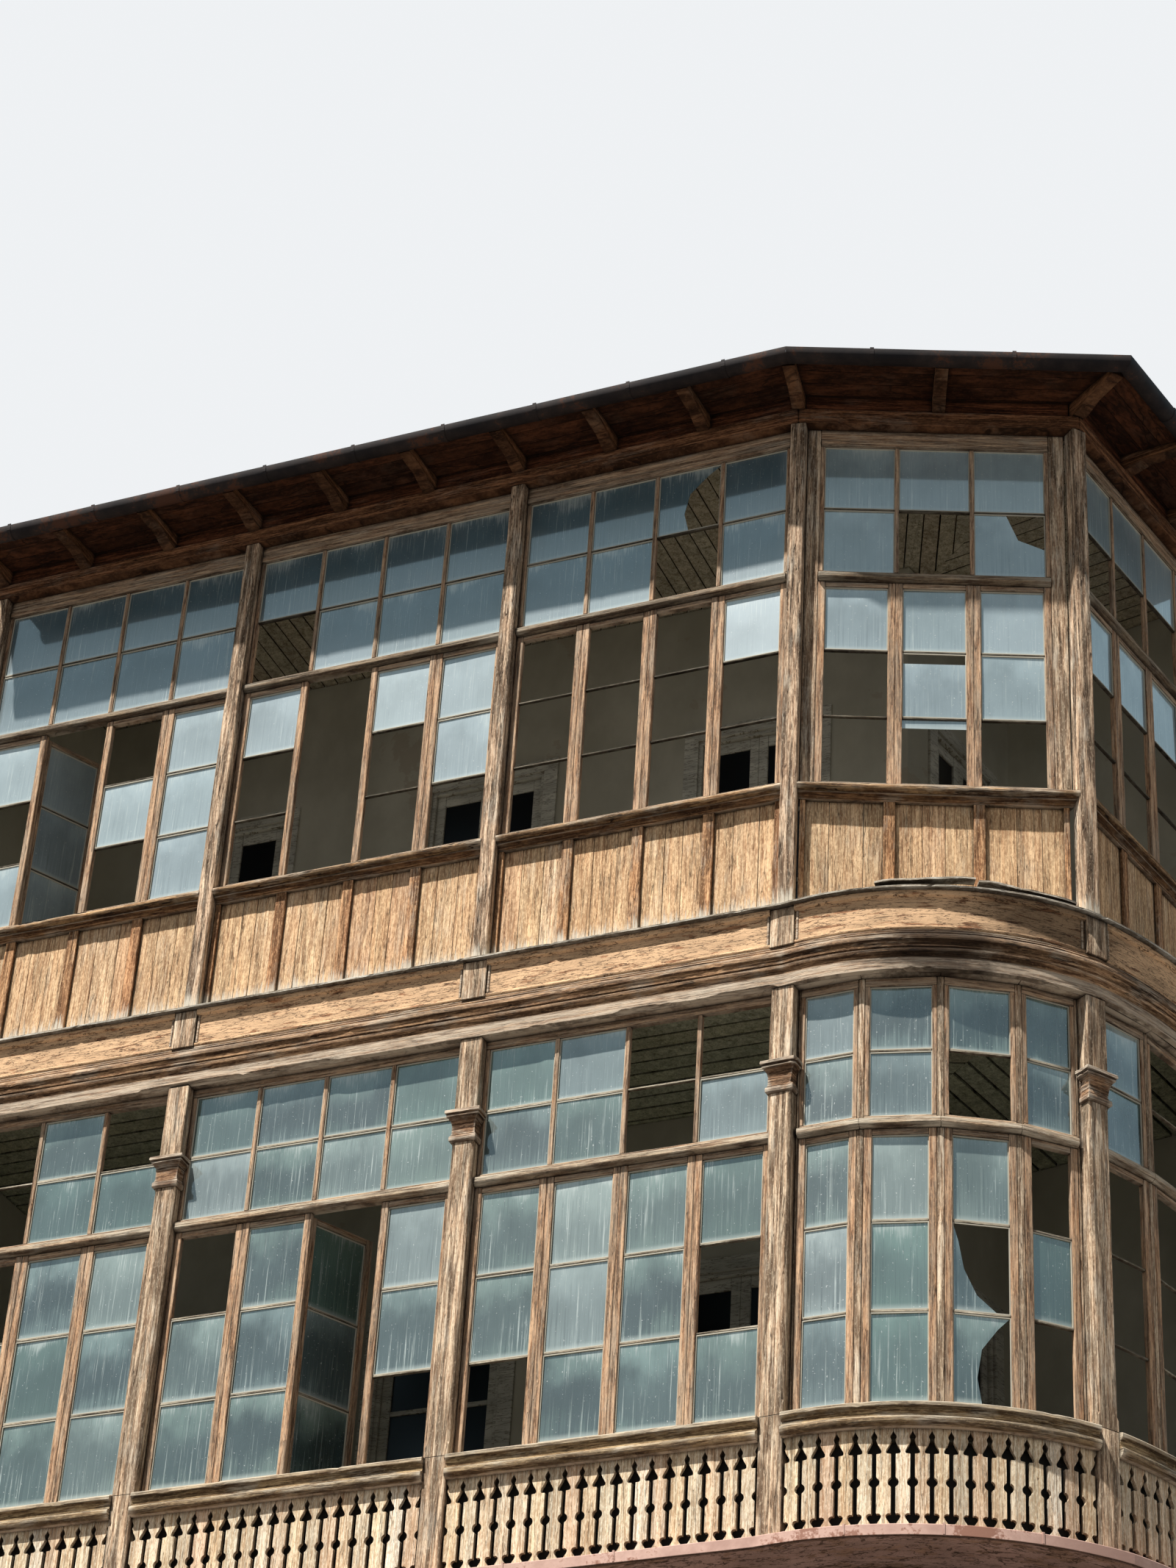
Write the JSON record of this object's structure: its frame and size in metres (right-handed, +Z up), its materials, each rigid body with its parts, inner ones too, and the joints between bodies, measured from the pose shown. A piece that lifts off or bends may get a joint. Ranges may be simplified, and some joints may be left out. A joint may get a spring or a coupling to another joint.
{
  "type": "enclosed wooden corner balcony",
  "caption": "Glazed timber balcony of two storeys round a house corner, with fretwork balustrade, casements, frieze and eaves, on its house wall.",
  "frame": {"origin": "foot of the lower corner post on the face line, at the underside of the base cornice", "axes": "+X along the left front towards the corner, +Y into the house, +Z up"},
  "size_m": [9.8382, 4.2488, 9.55],
  "materials": {
    "cornice_paint": "peeling paint",
    "ledge_sheet": "weathered sheet",
    "weathered_timber": "sun-bleached",
    "sash_timber": "sun-bleached",
    "parapet_boards": "sun-bleached",
    "painted_panel": "peeling paint",
    "grey_drip": "grey weathered",
    "fret_boards": "flaking paint",
    "inner_timber": "dull paint",
    "eaves_timber": "old stain",
    "glass": "dusty",
    "roof_metal": "rusted sheet",
    "gutter_metal": "dark paint",
    "plaster": "matt plaster",
    "door_paint": "old paint"
  },
  "bodies": {
    "root": {"balustrade_rails": "inner_timber", "base_cornice": "cornice_paint", "casement_rails": "sash_timber", "casement_stiles": "sash_timber", "door_casings": "door_paint", "door_frames": "door_paint", "door_leaves": "door_paint", "eaves_blocking": "eaves_timber", "facet_mullions": "weathered_timber", "floor_joists": "inner_timber", "fret_boards": "fret_boards", "frieze_blocks": "weathered_timber", "frieze_drip": "grey_drip", "frieze_mouldings": "weathered_timber", "frieze_panels": "painted_panel", "gallery_ceilings": "inner_timber", "gallery_floors": "inner_timber", "gutter": "gutter_metal", "handrails": "weathered_timber", "hip_rafters": "eaves_timber", "house_wall_piers": "plaster", "house_wall_spandrels": "plaster", "ledge_flashing": "ledge_sheet", "lintel_beams": "weathered_timber", "lintel_fascia": "weathered_timber", "parapet_battens": "parapet_boards", "parapet_panels": "parapet_boards", "parapet_rails": "parapet_boards", "party_walls": "plaster", "post_capitals": "weathered_timber", "post_heads": "weathered_timber", "post_pedestals": "weathered_timber", "post_shafts": "weathered_timber", "rafters": "eaves_timber", "roof_boards": "eaves_timber", "roof_sheets": "roof_metal", "top_light_frames": "sash_timber", "upper_jambs": "weathered_timber", "upper_posts": "weathered_timber", "upper_sills": "weathered_timber", "wall_plates": "weathered_timber", "window_panes": "glass", "window_transoms": "weathered_timber"}
  },
  "joints": []
}
